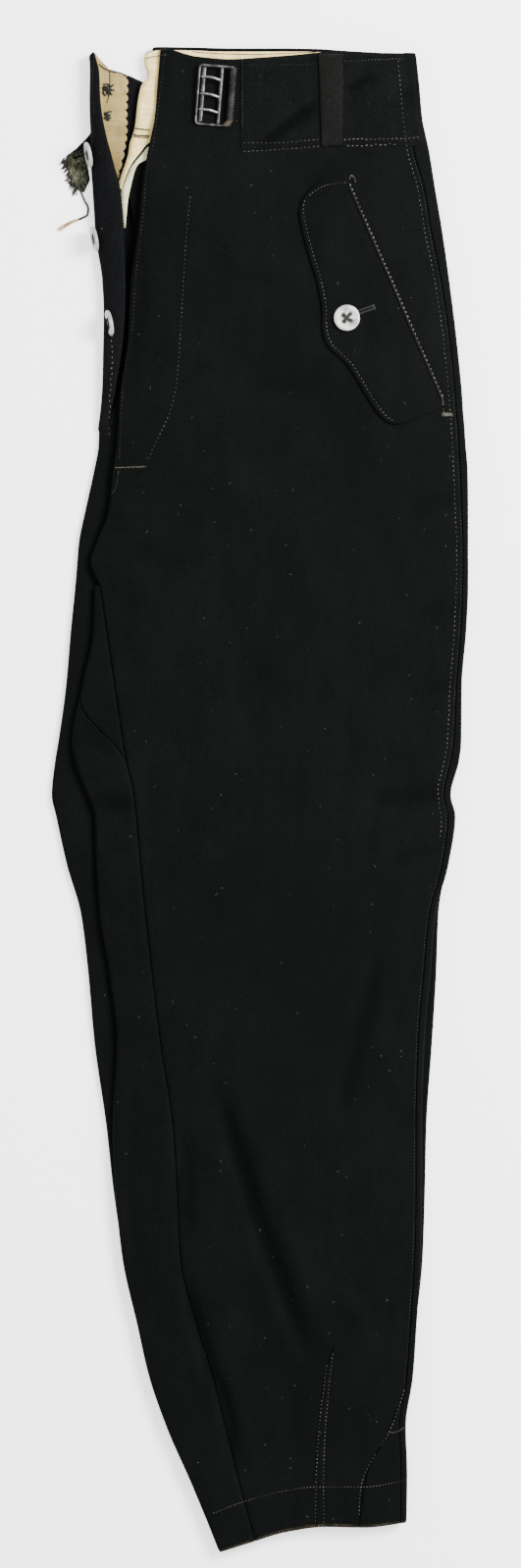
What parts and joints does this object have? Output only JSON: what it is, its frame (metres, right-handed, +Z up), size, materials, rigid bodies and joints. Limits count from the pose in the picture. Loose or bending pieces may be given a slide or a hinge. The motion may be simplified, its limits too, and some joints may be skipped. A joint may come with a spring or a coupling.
{
  "type": "folded military trousers",
  "caption": "Black heavy wool military trousers with waist strap, buckle, button fly and flap pocket, folded lengthwise and laid flat.",
  "frame": {"origin": "on the surface that the folded trousers lie on, under the middle of their outline", "axes": "+Y from the hem towards the waist, +X towards the side seam, +Z up from the surface"},
  "size_m": [0.2925, 1.0576, 0.023],
  "materials": {
    "black_wool": "fulled wool cloth",
    "strap_wool": "fulled wool cloth",
    "loop_wool": "twill wool cloth",
    "cream_cotton": "plain woven cotton",
    "drab_cotton": "plain woven cotton",
    "dark_steel": "worn dark lacquer on steel",
    "wrap_thread": "wound cotton thread",
    "pale_horn": "pale pressed composition"
  },
  "bodies": {
    "root": {"left_front": "black_wool", "left_back": "black_wool", "left_back_fork_piece": "black_wool", "ankle_piece": "black_wool", "ankle_tuck": "black_wool", "right_back": "black_wool", "right_front": "black_wool", "folded_layers": "black_wool", "button_stand": "black_wool", "button_stand_facing": "cream_cotton", "waist_lining": "cream_cotton", "pocketing": "drab_cotton", "waist_strap": "strap_wool", "belt_loop": "loop_wool", "buckle": "dark_steel", "buckle_loop": "wrap_thread", "pocket_flap": "black_wool", "flap_button": "pale_horn", "fly_button_1": "pale_horn", "fly_button_2": "pale_horn", "fly_button_3": "pale_horn", "right_strap": "strap_wool", "strap_fringe": "strap_wool"}
  },
  "joints": []
}
